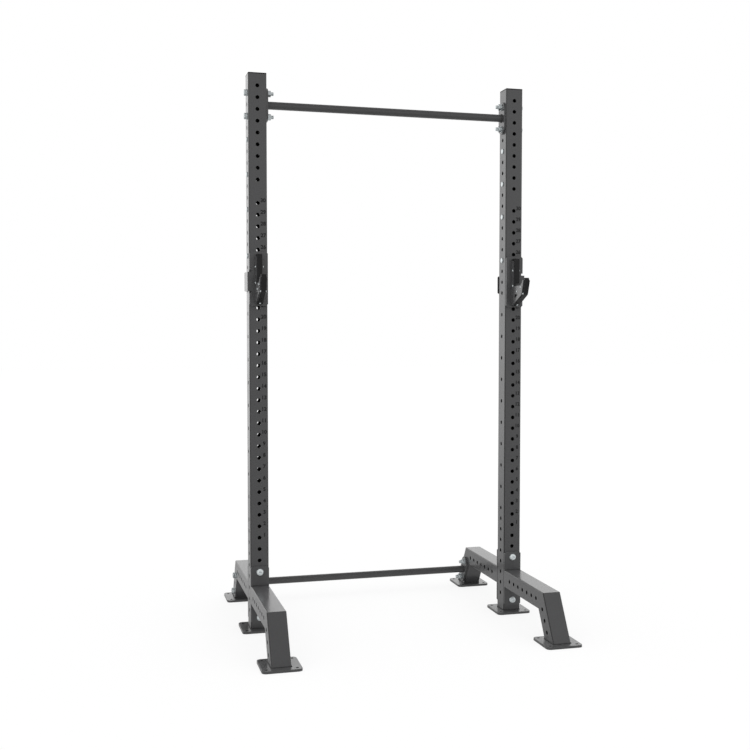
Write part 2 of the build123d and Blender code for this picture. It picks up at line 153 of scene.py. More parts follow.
class StandColours(PropertyGroup):
    """Colours of the stand's finishes."""

    coat: FloatVectorProperty(
        name="Powder coat", description="Charcoal coat of the frame", subtype="COLOR",
        default=linear("#4a4a4b"))
    # Near-black inside colour: bare mill steel, darkened further as painted shade for the shade in the tubes
    # and their holes
    inside: FloatVectorProperty(
        name="Tube inside", description="Mill steel inside the tubes", subtype="COLOR",
        default=linear("#100f0f"))
    plastic: FloatVectorProperty(
        name="Plastic", description="Black plastic of the caps and the J-hooks", subtype="COLOR",
        default=linear("#171718"))
    zinc: FloatVectorProperty(
        name="Zinc", description="Zinc of the fasteners", subtype="COLOR", default=linear("#eff5f6"))
    numbers: FloatVectorProperty(
        name="Numbers", description="Ink of the hole numbers", subtype="COLOR", default=linear("#111112"))
    floor: FloatVectorProperty(
        name="Floor", description="Pale studio floor", subtype="COLOR", default=linear("#c4c4c4"))


# Materials

def add_node(tree, kind, settings=(), feeds=(), **inputs):
    """Add a shader node with its settings.

    Inputs go by name, or as feeds in the order of the node's sockets. Each is a value or the socket
    that feeds it.
    """
    node = tree.nodes.new(kind)
    for name, value in dict(settings).items():
        setattr(node, name, value)
    named = [(node.inputs[name.replace("_", " ")], value) for name, value in inputs.items()]
    for socket, value in [*zip(node.inputs, feeds), *named]:
        if isinstance(value, bpy.types.NodeSocket):
            tree.links.new(value, socket)
        else:
            socket.default_value = value
    return node


def new_material(name):
    """Empty material with an object coordinate node, its output left to close_material; returns it with its
    node tree and the object coordinates.
    """
    material = bpy.data.materials.new(name)
    material.use_nodes = True
    tree = material.node_tree
    tree.nodes.clear()
    place = add_node(tree, "ShaderNodeTexCoord").outputs["Object"]
    return material, tree, place


def close_material(tree, shader):
    """Link the finished shader to the output."""
    add_node(tree, "ShaderNodeOutputMaterial", Surface=shader.outputs[0])


def two_tones(tree, factor, first, second):
    """Colour that runs from the first to the second with a factor from 0 to 1."""
    return add_node(tree, "ShaderNodeMix", {"data_type": "RGBA"}, Factor=factor,
                    A=(*first, 1), B=(*second, 1)).outputs["Result"]


def inside_tube(tree, place, tube):
    """Socket that is 1 inside a square tube and on the edges of its holes, and 0 on its outer faces: the mask
    of the painted shade there.

    With the stand folded onto one quarter, the distance from the tube's axis is |x - spacing| across
    the stand and |a y + b z - c| in the plane of the base. Both are less than half a tube inside.
    """
    spacing = middle("right_upright")[0]
    foot, plate_top = middle("right_rear_foot")[1], corners("right_rear_foot")[1][2]
    slant = (cos(LEG_SLOPE), sin(LEG_SLOPE))
    weights, offset = {
        "upright": ((0, 1, 0), 0),
        "beam": ((0, 0, 1), middle("right_rear_beam")[2]),
        "leg": ((0, *slant), slant[0] * foot + slant[1] * plate_top),
    }[tube]
    folded = add_node(tree, "ShaderNodeVectorMath", {"operation": "ABSOLUTE"}, (place,)).outputs[0]
    spans = []
    for share, axis in (((1, 0, 0), spacing), (weights, offset)):
        along = add_node(tree, "ShaderNodeVectorMath", {"operation": "DOT_PRODUCT"}, (folded, share))
        apart = add_node(tree, "ShaderNodeMath", {"operation": "SUBTRACT"}, (along.outputs["Value"], axis))
        span = add_node(tree, "ShaderNodeMath", {"operation": "ABSOLUTE"}, (apart.outputs[0],))
        spans.append(span.outputs[0])
    larger = add_node(tree, "ShaderNodeMath", {"operation": "MAXIMUM"}, spans)
    limit = TUBE_WIDTH / 2 - 0.1 * MM
    return add_node(tree, "ShaderNodeMath", {"operation": "LESS_THAN"}, (larger.outputs[0], limit)).outputs[0]


def powder_coat(name, colours, shade=1.0, sheen=0.2, tube=None):
    """Satin powder coat: polyester powder, sprayed on steel and baked.

    It levels to a fine orange peel, so the sheen is broken up but even, and thin clouds of film
    thickness shift the grey a little. The peel is drawn at 4 mm, about twice its size, to show.
    Powder doesn't reach the inside of a tube, which stays bare mill steel; its near-black colour there and on
    the hole edges is painted shade for the shade inside.
    """
    material, tree, place = new_material(name)
    cloud = add_node(tree, "ShaderNodeTexNoise", Vector=place, Scale=1 / (120 * MM),
                     Detail=3.0, Roughness=0.55)
    speck = add_node(tree, "ShaderNodeTexNoise", Vector=place, Scale=1 / (4 * MM), Detail=2.0, Roughness=0.6)
    # A shade below 1 makes a darker copy of the coat, which is painted shade
    grey = shade * np.array(colours.coat)
    tone = two_tones(tree, cloud.outputs["Fac"], grey * 0.93, grey * 1.07)
    tone = add_node(tree, "ShaderNodeMix", {"data_type": "RGBA", "blend_type": "SOFT_LIGHT"},
                    Factor=0.18, A=tone, B=speck.outputs["Color"]).outputs["Result"]
    # Painted shade: the tube's inside and its hole edges turn near-black, for the shade that falls in there
    if tube:
        tone = add_node(tree, "ShaderNodeMix", {"data_type": "RGBA"}, Factor=inside_tube(tree, place, tube),
                        A=tone, B=(*colours.inside, 1)).outputs["Result"]
    gloss = add_node(tree, "ShaderNodeMapRange", Value=speck.outputs["Fac"], To_Min=0.36, To_Max=0.46)
    peel = add_node(tree, "ShaderNodeBump", Height=speck.outputs["Fac"], Strength=0.12, Distance=0.4 * MM)
    shader = add_node(tree, "ShaderNodeBsdfPrincipled", Base_Color=tone, IOR=1.5,
                      Roughness=gloss.outputs["Result"], Normal=peel.outputs["Normal"],
                      Coat_Weight=1.0, Coat_Roughness=sheen, Coat_IOR=1.5, Coat_Normal=peel.outputs["Normal"])
    close_material(tree, shader)
    return material


def weld_metal(name, colours):
    """Weld bead under the same powder coat, painted far darker than the coat as painted shade for the contact
    shadow where the parts meet.
    """
    material, tree, place = new_material(name)
    cloud = add_node(tree, "ShaderNodeTexNoise", Vector=place, Scale=1 / (6 * MM), Detail=3.0)
    grey = np.array(colours.coat)
    # Painted shade: the bead's grey is 0.35 to 0.6 of the coat, for the contact shadow at the joint
    tone = two_tones(tree, cloud.outputs["Fac"], grey * 0.35, grey * 0.6)
    rough = add_node(tree, "ShaderNodeBump", Height=cloud.outputs["Fac"], Strength=0.25, Distance=0.6 * MM)
    shader = add_node(tree, "ShaderNodeBsdfPrincipled", Base_Color=tone, IOR=1.5,
                      Roughness=0.5, Normal=rough.outputs["Normal"])
    close_material(tree, shader)
    return material


def zinc_plate(name, colours, mirror=0.85):
    """Zinc plate with a clear passivate, on turned and forged steel.

    The passivate scatters some light, so the plate is part mirror and part pale body, with soft cloudy
    patches that are duller than the rest. A plate with little mirror keeps the same near-white body, which is
    then partly the passivate's own pale colour and partly painted reflection: the heads read bright all over.
    """
    material, tree, place = new_material(name)
    cloud = add_node(tree, "ShaderNodeTexNoise", Vector=place, Scale=1 / (8 * MM), Detail=4.0)
    pale = np.array(colours.zinc)
    tone = two_tones(tree, cloud.outputs["Fac"], pale * (0.89, 0.9, 0.91), pale)
    gloss = add_node(tree, "ShaderNodeMapRange", Value=cloud.outputs["Fac"], To_Min=0.3, To_Max=0.14)
    shader = add_node(tree, "ShaderNodeBsdfPrincipled", Base_Color=tone, Metallic=mirror,
                      Roughness=gloss.outputs["Result"])
    close_material(tree, shader)
    return material


def moulded_plastic(name, colours):
    """Black polyethylene, moulded and cut: a soft low sheen over a fine spark-eroded grain.

    The grain is drawn at 2 mm, a few times its size, to show.
    """
    material, tree, place = new_material(name)
    grain = add_node(tree, "ShaderNodeTexNoise", Vector=place, Scale=1 / (2 * MM), Detail=2.0)
    cloud = add_node(tree, "ShaderNodeTexNoise", Vector=place, Scale=1 / (50 * MM), Detail=3.0)
    black = np.array(colours.plastic)
    tone = two_tones(tree, cloud.outputs["Fac"], black * 0.85, black * 1.2)
    bump = add_node(tree, "ShaderNodeBump", Height=grain.outputs["Fac"], Strength=0.15, Distance=0.3 * MM)
    gloss = add_node(tree, "ShaderNodeMapRange", Value=grain.outputs["Fac"], To_Min=0.42, To_Max=0.55)
    shader = add_node(tree, "ShaderNodeBsdfPrincipled", Base_Color=tone, IOR=1.5,
                      Roughness=gloss.outputs["Result"], Normal=bump.outputs["Normal"])
    close_material(tree, shader)
    return material


def number_ink(name, colours):
    """Matte black pad print on the coat, a little uneven where the pad lifted."""
    material, tree, place = new_material(name)
    patch = add_node(tree, "ShaderNodeTexNoise", Vector=place, Scale=1 / (3 * MM), Detail=2.0)
    ink = np.array(colours.numbers)
    tone = two_tones(tree, patch.outputs["Fac"], ink * 0.8, ink * 1.5)
    shader = add_node(tree, "ShaderNodeBsdfPrincipled", Base_Color=tone, Roughness=0.65)
    close_material(tree, shader)
    return material


FINISHES = {
    "satin_powder_coat": (powder_coat, {}),
    "coated_upright_tube": (powder_coat, {"tube": "upright"}),
    "coated_beam_tube": (powder_coat, {"tube": "beam"}),
    "coated_leg_tube": (powder_coat, {"tube": "leg"}),
    # Painted shade: the bars' coat is 0.8 as light, for the shade on their round tops and undersides
    "round_bar_coat_painted_shade": (powder_coat, {"shade": 0.8, "sheen": 0.3}),
    "weld_bead_painted_shade": (weld_metal, {}),
    "bright_zinc_plate": (zinc_plate, {}),
    # Partly painted reflection: a near-white body with little mirror, so the heads read bright all over
    "pale_zinc_painted_reflection": (zinc_plate, {"mirror": 0.15}),
    "moulded_black_plastic": (moulded_plastic, {}),
    "printed_number_ink": (number_ink, {}),
}


def material_named(context, name):
    """A finish by name, made the first time it is asked for."""
    maker, values = FINISHES[name]
    return bpy.data.materials.get(name) or maker(name, context.scene.stand_colours, **values)


def finish_node(context, node, name):
    """Give a frame node its finish in place of its plain one."""
    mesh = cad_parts[node].data
    mesh.materials.clear()
    mesh.materials.append(material_named(context, name))


# Surfaces. A shape is its points, the corners of all its faces in one row, and the faces' sizes.

def skin(rings, tube):
    """Shape of a skin over rings of points, an array (ring, place, axis).

    Neighbouring rings are joined by quads all the way round. A tube also joins its last ring to
    its first; otherwise the two end rings are closed by flat caps.
    """
    count, around, _ = rings.shape
    index = np.arange(count * around).reshape(count, around)
    first = index if tube else index[:-1]
    second = np.roll(index, -1, axis=0) if tube else index[1:]
    quads = np.stack([first, np.roll(first, -1, 1), np.roll(second, -1, 1), second], -1)
    loops, sizes = quads.ravel(), np.full(first.size, 4)
    if not tube:
        loops = np.concatenate([loops, index[0, ::-1], index[-1]])
        sizes = np.append(sizes, (around, around))
    return rings.reshape(-1, 3), loops, sizes


def placed(shape, origins, turns):
    """Copies of a shape: each origin (n, 3) takes it through its rotation (n, 3, 3)."""
    points, loops, sizes = shape
    copies = np.einsum("nij,pj->npi", np.asarray(turns), points) + np.asarray(origins)[:, None]
    steps = len(points) * np.arange(len(copies))[:, None]
    return copies.reshape(-1, 3), (loops + steps).ravel(), np.tile(sizes, len(copies))


def turn_to(axis):
    """Rotation that takes +Z to the axis, with the shape's X kept level or along Y."""
    out = np.array(axis, float) / np.linalg.norm(axis)
    aside = np.array((0.0, 1.0, 0.0)) if abs(out[1]) < 0.9 else np.array((1.0, 0.0, 0.0))
    aside = aside - out * (aside @ out)
    aside /= np.linalg.norm(aside)
    return np.stack([aside, np.cross(out, aside), out], -1)


def make_piece(context, name, shapes, material, body, smooth=True):
    """Put shapes into one object that rides on a body."""
    points = np.concatenate([shape[0] for shape in shapes])
    starts = np.cumsum([0] + [len(shape[0]) for shape in shapes[:-1]])
    loops = np.concatenate([shape[1] + start for shape, start in zip(shapes, starts)])
    sizes = np.concatenate([shape[2] for shape in shapes])
    mesh = bpy.data.meshes.new(name)
    mesh.vertices.add(len(points))
    mesh.vertices.foreach_set("co", points.ravel())
    mesh.loops.add(len(loops))
    mesh.loops.foreach_set("vertex_index", loops)
    mesh.polygons.add(len(sizes))
    mesh.polygons.foreach_set("loop_start", np.cumsum(sizes) - sizes)
    mesh.update(calc_edges=True)
    mesh.validate()
    if smooth:
        mesh.shade_smooth()
        mesh.set_sharp_from_angle(angle=radians(32))
    mesh.materials.append(material_named(context, material))
    piece = bpy.data.objects.new(name, mesh)
    context.scene.collection.objects.link(piece)
    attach(piece, body)
    return piece


def turned(radii, heights):
    """Rings round Z at their heights; a ring's radius is one value, or one for each place."""
    heights = np.asarray(heights, float)[:, None]
    radii = np.asarray(radii, float).reshape(len(heights), -1) + 0 * ANGLES
    return np.stack([radii * np.cos(ANGLES), radii * np.sin(ANGLES), heights + 0 * ANGLES], -1)


def hexagon(flats):
    """Radius of a hexagon of that width across flats, at each place round it."""
    return flats / 2 / np.cos((ANGLES + pi / 6) % (pi / 3) - pi / 6)


def hex_rings(flats, low, high, turned_foot):
    """Rings of a hexagon from low to high, with its corners turned off by a 30 degree cone.

    The radius is the smaller one of hexagon and cone. The cone is at the top, and at the foot too
    if that is turned.
    """
    face = 0.95 * flats / 2
    spread = flats / 2 / cos(pi / 6) - face
    share = np.linspace(0, 1, 6)
    foot = share if turned_foot else np.ones(1)
    drop = spread * tan(radians(30))
    heights = np.concatenate([low + drop * (foot if turned_foot else 0 * foot), high - drop * share[::-1]])
    cone = face + spread * np.concatenate([foot, share[::-1]])
    return turned(np.minimum(hexagon(flats), cone[:, None]), heights)


def thread_rings(radius, start, end, pitch, tip):
    """Rings of a screw thread going up from its end to its start.

    The radius falls by a triangle wave of height less angle, so the crest climbs as a helix, and
    a cone at the tip cuts it back.
    """
    heights = np.linspace(end, start, int(8 * (start - end) / pitch) + 1)
    phase = (heights[:, None] / pitch - ANGLES / (2 * pi)) % 1.0
    crest = radius - 0.3 * pitch * np.abs(2 * phase - 1)
    cone = radius - np.maximum(tip - (heights - end), 0)
    return turned(np.minimum(crest, cone[:, None]), heights)


def socket_head_rings(radius, rim, dome, socket_flats, socket_depth):
    """Rings of a domed head from its seat up: rim, quarter ellipse, and a hexagonal socket."""
    mouth, top = 1.25 * socket_flats / 2, rim + dome
    turn = np.linspace(0, pi / 2, 9)
    cap = turned(mouth + (radius - mouth) * np.cos(turn), rim + dome * np.sin(turn))
    walls = turned(np.tile(hexagon(socket_flats), (2, 1)), (top - 0.05 * socket_depth, top - socket_depth))
    floor = turned((0.05 * socket_flats,), (top - 1.15 * socket_depth,))
    return np.concatenate([turned((radius,), (0,)), cap, walls, floor])


# Places of the fasteners, from the frame

def bar_bolt_spots():
    """Places (side sign, y, z) of the eight bolts: two beside each end of each bar."""
    spots = []
    for bar, tilt in (("pull_up_bar", pi / 2), ("floor_bar", LEG_SLOPE - pi / 2)):
        _, y, z = middle(bar)
        along = HOLE_PITCH * np.array((cos(tilt), sin(tilt)))
        spots += [(sign, y + step * along[0], z + step * along[1]) for sign in (-1, 1) for step in (-1, 1)]
    return spots


def bracket_bolt_spots():
    """Places (x, z) of the four bolts that clamp a pair of brackets on each upright."""
    spots = []
    for side in SIDES:
        x, _, z = middle(f"{side}_front_bracket")
        spots += [(x, z + step * 2 * HOLE_PITCH) for step in (-1, 1)]
    return spots


def clamped_faces():
    """Distances of the uprights' outer faces, the flanges' inner faces and the brackets' outer faces."""
    upright, flange = corners("right_upright")[1][0], corners("right_pull_up_bar_flange")[0][0]
    return upright, flange, corners("left_rear_bracket")[1][1]


def seats():
    """Seat origins and outward axes of every washer, in four groups."""
    upright, flange, bracket = clamped_faces()
    bars, brackets = bar_bolt_spots(), bracket_bolt_spots()
    heads = [((sign * upright, y, z), (sign, 0, 0)) for sign, y, z in bars]
    nuts = [((sign * flange, y, z), (-sign, 0, 0)) for sign, y, z in bars]
    domes = [((x, -bracket, z), (0, -1, 0)) for x, z in brackets]
    dome_nuts = [((x, bracket, z), (0, 1, 0)) for x, z in brackets]
    return heads, nuts, domes, dome_nuts


def on_seats(shape, spots, lift=0.0):
    """Copies of a shape on seats, lifted along each seat's axis."""
    origins = [np.array(origin) + lift * np.array(axis) for origin, axis in spots]
    return placed(shape, origins, [turn_to(axis) for _, axis in spots])


class STAND_OT_frame(Operator):
    """Finish the tubes, plates and bars of the frame."""

    bl_idname = "stand.frame"
    bl_label = "Frame"

    def execute(self, context):
        for bar in ("pull_up_bar", "floor_bar"):
            finish_node(context, bar, "round_bar_coat_painted_shade")
        for side in SIDES:
            finish_node(context, f"{side}_top_cap", "moulded_black_plastic")
            finish_node(context, f"{side}_upright", "coated_upright_tube")
            plates = [f"{side}_upright_foot", f"{side}_pull_up_bar_flange", f"{side}_floor_bar_flange"]
            for end in ENDS:
                finish_node(context, f"{side}_{end}_beam", "coated_beam_tube")
                finish_node(context, f"{side}_{end}_leg", "coated_leg_tube")
                plates += [f"{side}_{end}_bracket", f"{side}_{end}_foot"]
            for node in plates:
                finish_node(context, node, "satin_powder_coat")
        return {"FINISHED"}


class STAND_OT_hooks(Operator):
    """Finish the J-hooks: coated steel, black plastic and a zinc pin."""

    bl_idname = "stand.hooks"
    bl_label = "J-hooks"

    def execute(self, context):
        finishes = {
            "satin_powder_coat": ("body", "strap", "cheeks"),
            "moulded_black_plastic": ("liner", "strap_liner", "core"),
            "bright_zinc_plate": ("pin",),
        }
        for side in SIDES:
            for finish, kinds in finishes.items():
                for kind in kinds:
                    finish_node(context, f"{side}_hook_{kind}", finish)
        return {"FINISHED"}


class STAND_OT_washers(Operator):
    """Add the washers: flat rings with bevelled rims, under every head and nut."""

    bl_idname = "stand.washers"
    bl_label = "Washers"

    def execute(self, context):
        inside, outside, rim = 8.5 * MM, 15 * MM, 0.6 * MM
        radii = (inside, outside - rim, outside, outside, outside - rim, inside)
        heights = (0, 0, rim, WASHER_THICK - rim, WASHER_THICK, WASHER_THICK)
        shape = skin(turned(radii, heights), tube=True)
        every_seat = [seat for group in seats() for seat in group]
        piece = make_piece(context, "plated_washers", [on_seats(shape, every_seat)],
                           "bright_zinc_plate", "frame")
        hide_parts("washers")
        return {"FINISHED"}


class STAND_OT_nuts(Operator):
    """Add the nuts: hexagons with turned corners, on the bars' flanges and behind the rear brackets."""

    bl_idname = "stand.nuts"
    bl_label = "Nuts"

    def execute(self, context):
        bore = BOLT_RADIUS + 0.1 * MM
        outside = hex_rings(HEX_FLATS, 0, NUT_HEIGHT, True)
        rings = np.concatenate([turned((bore,), (0,)), outside, turned((bore,), (NUT_HEIGHT,))])
        shape = skin(rings, tube=True)
        _, nuts, _, dome_nuts = seats()
        piece = make_piece(context, "plated_nuts", [on_seats(shape, nuts + dome_nuts, WASHER_THICK)],
                           "bright_zinc_plate", "frame")
        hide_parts("nuts")
        return {"FINISHED"}


def bolt_shape(context, grip, head):
    """Bolt with its head on Z = 0: a threaded tail past the nut, a plain shank and the head's rings."""
    nut_end = -(grip + 2 * WASHER_THICK + NUT_HEIGHT)
    tail = thread_rings(BOLT_RADIUS, nut_end + NUT_HEIGHT / 2, nut_end - BOLT_TAIL,
                        context.scene.stand_sizes.thread_pitch, BOLT_TIP)
    shank = turned((BOLT_RADIUS, BOLT_RADIUS), (nut_end + NUT_HEIGHT, 0))
    return skin(np.concatenate([tail, shank, head]), tube=False)


class STAND_OT_bar_bolts(Operator):
    """Add the bars' hex bolts: a head with turned corners, a shank and a threaded tail."""

    bl_idname = "stand.bar_bolts"
    bl_label = "Bar bolts"

    def execute(self, context):
        upright, flange, _ = clamped_faces()
        shape = bolt_shape(context, upright - flange, hex_rings(HEX_FLATS, 0, HEAD_HEIGHT, False))
        heads, _, _, _ = seats()
        piece = make_piece(context, "hex_bolts", [on_seats(shape, heads, WASHER_THICK)],
                           "bright_zinc_plate", "frame")
        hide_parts("bar_bolts")
        return {"FINISHED"}


class STAND_OT_bracket_bolts(Operator):
    """Add the brackets' bolts: domed socket heads on long shanks with threaded tails."""

    bl_idname = "stand.bracket_bolts"
    bl_label = "Bracket bolts"

    def execute(self, context):
        _, _, bracket = clamped_faces()
        head = socket_head_rings(radius=14 * MM, rim=2 * MM, dome=7 * MM,
                                 socket_flats=10 * MM, socket_depth=5 * MM)
        shape = bolt_shape(context, 2 * bracket, head)
        _, _, domes, _ = seats()
        piece = make_piece(context, "dome_bolts", [on_seats(shape, domes, WASHER_THICK)],
                           "pale_zinc_painted_reflection", "frame")
        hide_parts("bracket_bolts")
        return {"FINISHED"}


class STAND_OT_plugs(Operator):
    """Add the bright plugs in the side holes: a low dome with a round rim, on a stem."""

    bl_idname = "stand.plugs"
    bl_label = "Hole plugs"

    def execute(self, context):
        radius, stem, proud, depth, rim = 11.5 * MM, 8.2 * MM, 5 * MM, 12 * MM, 2 * MM
        turn = np.linspace(0, pi / 2, 7)
        stem_rings = turned((stem, stem, radius), (-depth, 0, 0))
        rim_rings = turned(radius - rim + rim * np.cos(turn), proud - 1.4 * rim + rim * np.sin(turn))
        dome_rings = turned((0.5 * radius, 0.1 * radius), (proud - 0.1 * rim, proud))
        shape = skin(np.concatenate([stem_rings, rim_rings, dome_rings]), tube=False)
        for side in SIDES:
            lowest = corners(f"{side}_hole_plugs")[0][2] + radius
            face = corners(f"{side}_upright")[0][0]
            spots = [((face, 0, lowest + step * HOLE_PITCH), (-1, 0, 0)) for step in PLUG_LEVELS]
            piece = make_piece(context, f"{side}_bright_plugs", [on_seats(shape, spots)],
                               "bright_zinc_plate", "frame")
            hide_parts(f"{side}_hole_plugs")
        return {"FINISHED"}


def digits(context, words, height, depth):
    """Shape of a flat number of that height, centred, raised by depth on both sides."""
    curve = bpy.data.curves.new("number", "FONT")
    curve.body = words
    curve.align_x = "CENTER"
    curve.size = height / DIGIT_SHARE
    curve.offset = 0.05 * height
    curve.extrude = depth
    curve.resolution_u = 4
    holder = bpy.data.objects.new("number", curve)
    context.scene.collection.objects.link(holder)
    shape = bpy.data.meshes.new_from_object(holder.evaluated_get(context.evaluated_depsgraph_get()))
    points = np.empty(len(shape.vertices) * 3, np.float32)
    loops = np.empty(len(shape.loops), np.int32)
    sizes = np.empty(len(shape.polygons), np.int32)
    shape.vertices.foreach_get("co", points)
    shape.loops.foreach_get("vertex_index", loops)
    shape.polygons.foreach_get("loop_total", sizes)
    bpy.data.objects.remove(holder)
    bpy.data.curves.remove(curve)
    bpy.data.meshes.remove(shape)
    return points.reshape(-1, 3) - (0, height / 2, 0), loops, sizes


class STAND_OT_numbers(Operator):
    """Print the hole numbers on the front of both uprights."""

    bl_idname = "stand.numbers"
    bl_label = "Hole numbers"

    def execute(self, context):
        sizes = context.scene.stand_sizes
        unnumbered, ink_depth = 6, 0.1 * MM
        for side in SIDES:
            x = middle(f"{side}_upright")[0]
            _, face, foot = corners(f"{side}_upright")[0]
            shapes = []
            for number in range(1, sizes.number_count + 1):
                z = foot + (unnumbered + number + 1) * HOLE_PITCH + sizes.number_above
                points, loops, counts = digits(context, str(number), sizes.number_height, ink_depth)
                upright = np.stack([points[:, 0], -points[:, 2], points[:, 1]], -1)
                shapes.append((upright + (x + sizes.number_aside, face, z), loops, counts))
            make_piece(context, f"{side}_hole_numbers", shapes,
                       "printed_number_ink", "frame", smooth=False)
        return {"FINISHED"}


def bead(path, out, up, sizes, closed):
    """Weld bead along a path in the corner of two faces.

    Its section is a quarter ellipse from the face that out lies in to the face that up lies in,
    closed through the corner. Its size swells a little at each ripple along the path. Where out,
    up and the path are left-handed, the section runs the other way, so that the faces point outwards.
    """
    run = np.linalg.norm(np.diff(path, axis=0), axis=1)
    way = np.concatenate([[0], np.cumsum(run)])
    swell = 1 + 0.1 * np.abs(np.sin(pi * way / sizes.weld_ripple)) + 0.06 * np.sin(7.3 * way / sizes.weld_leg)
    turn = np.linspace(0, pi / 2, 6)
    reach = sizes.weld_leg * swell[:, None, None]
    arc = reach * (np.cos(turn)[None, :, None] * out[:, None] + np.sin(turn)[None, :, None] * up[:, None])
    buried = -0.15 * sizes.weld_leg * (out + up)[:, None]
    rings = path[:, None] + np.concatenate([arc, buried], axis=1)
    right_handed = np.cross(out[0], up[0]) @ (path[1] - path[0]) > 0
    return skin(rings if right_handed else rings[:, ::-1], tube=closed)


def rounded_square(width, depth, radius, spacing):
    """Points and outward normals round a rectangle with round corners, at even spacing."""
    turn = np.linspace(0, pi / 2, 7)
    quarter = np.stack([np.cos(turn), np.sin(turn)], -1)
    normals = np.concatenate([quarter @ np.array(((cos(a), sin(a)), (-sin(a), cos(a))))
                              for a in (0, pi / 2, pi, 3 * pi / 2)])
    centre = np.repeat(np.array(((1, 1), (-1, 1), (-1, -1), (1, -1))), len(turn), axis=0)
    points = centre * (width / 2 - radius, depth / 2 - radius) + radius * normals
    points, normals = np.vstack([points, points[:1]]), np.vstack([normals, normals[:1]])
    way = np.concatenate([[0], np.cumsum(np.linalg.norm(np.diff(points, axis=0), axis=1))])
    even = np.linspace(0, way[-1], int(way[-1] / spacing), endpoint=False)
    points, normals = [np.stack([np.interp(even, way, column) for column in table.T], -1)
                       for table in (points, normals)]
    return points, normals / np.linalg.norm(normals, axis=1, keepdims=True)


def foot_bead(side, place, way, sizes):
    """Bead round the foot of an upright or, leaning the given way, of a leg."""
    lean, depth = way * tan(LEG_SLOPE), TUBE_WIDTH / (cos(LEG_SLOPE) if way else 1)
    points, normals = rounded_square(TUBE_WIDTH, depth, TUBE_CORNER, sizes.weld_ripple / 5)
    foot = f"{side}_{place}_foot"
    level, upwards = np.zeros(len(points)), np.ones(len(points))
    path = np.column_stack([points + middle(foot)[:2], corners(foot)[1][2] * upwards])
    out = np.column_stack([normals, level])
    up = np.column_stack([level, -lean * np.abs(normals[:, 1]), upwards])
    return bead(path, out, up / np.linalg.norm(up, axis=1, keepdims=True), sizes, closed=True)


def beam_bead(side, place, way, up, sizes):
    """Bead along the upper or lower edge of a beam on its bracket."""
    low, high = corners(f"{side}_{place}_beam")
    count = int((TUBE_WIDTH - 2 * TUBE_CORNER) / (sizes.weld_ripple / 5))
    across = np.linspace(low[0] + TUBE_CORNER, high[0] - TUBE_CORNER, count)
    edge = np.array((0.0, way * clamped_faces()[2], high[2] if up > 0 else low[2]))
    path = edge + across[:, None] * (1.0, 0.0, 0.0)
    along, rise = np.tile((0.0, way, 0.0), (len(across), 1)), np.tile((0.0, 0.0, up), (len(across), 1))
    return bead(path, along, rise, sizes, closed=False)


def bar_bead(bar, x, inwards, sizes):
    """Bead round the end of a bar on its flange."""
    low, high = corners(bar)
    turn = np.linspace(0, 2 * pi, 144, endpoint=False)
    out = np.column_stack([0 * turn, np.cos(turn), np.sin(turn)])
    path = (high[2] - low[2]) / 2 * out + (x, *middle(bar)[1:])
    return bead(path, out, np.tile((inwards, 0.0, 0.0), (len(turn), 1)), sizes, closed=True)


class STAND_OT_welds(Operator):
    """Add the weld beads: tubes on their foot plates, beams on their brackets, bars on their flanges."""

    bl_idname = "stand.welds"
    bl_label = "Welds"

    def execute(self, context):
        sizes = context.scene.stand_sizes
        for side in SIDES:
            shapes = [foot_bead(side, "upright", 0, sizes)]
            shapes += [foot_bead(side, place, way, sizes) for place, way in zip(ENDS, (-1, 1))]
            shapes += [beam_bead(side, place, way, up, sizes)
                       for place, way in zip(ENDS, (-1, 1)) for up in (-1, 1)]
            make_piece(context, f"{side}_base_welds", shapes, "weld_bead_painted_shade", "frame")
        for bar in ("pull_up_bar", "floor_bar"):
            low, high = corners(bar)
            shapes = [bar_bead(bar, x, inwards, sizes) for x, inwards in ((low[0], 1.0), (high[0], -1.0))]
            make_piece(context, f"{bar}_welds", shapes, "weld_bead_painted_shade", "frame")
        return {"FINISHED"}


class STAND_OT_hook_screws(Operator):
    """Add the J-hooks' screws: small domed socket heads on the cheeks, the nose and the underside."""

    bl_idname = "stand.hook_screws"
    bl_label = "J-hook screws"

    def execute(self, context):
        head = socket_head_rings(radius=4 * MM, rim=0.8 * MM, dome=1.7 * MM,
                                 socket_flats=2.5 * MM, socket_depth=1.4 * MM)
        shank = turned((2.5 * MM, 2.5 * MM), (-10 * MM, 0))
        shape = skin(np.concatenate([shank, head]), tube=False)
        foot, bend = UNDERSIDE
        slope = (bend - foot) / np.linalg.norm(bend - foot)
        for side in SIDES:
            _, plate, ground = corners(f"{side}_hook_body")[0]
            x = middle(f"{side}_hook_core")[0]
            spots = []
            for kind, places in (("cheeks", CHEEK_SCREWS), ("core", NOSE_SCREWS)):
                for face, edge in zip((-1, 1), corners(f"{side}_hook_{kind}")):
                    spots += [((edge[0], plate - reach * MM, ground + rise * MM), (face, 0, 0))
                              for reach, rise in places]
            reach, rise = foot + UNDERSIDE_SCREW * slope
            spots.append(((x, plate - reach * MM, ground + rise * MM), (0, -slope[1], -slope[0])))
            piece = make_piece(context, f"{side}_socket_screws", [on_seats(shape, spots)],
                               "pale_zinc_painted_reflection", f"{side}_j_hook")
            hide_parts(f"{side}_hook_screws")
        return {"FINISHED"}


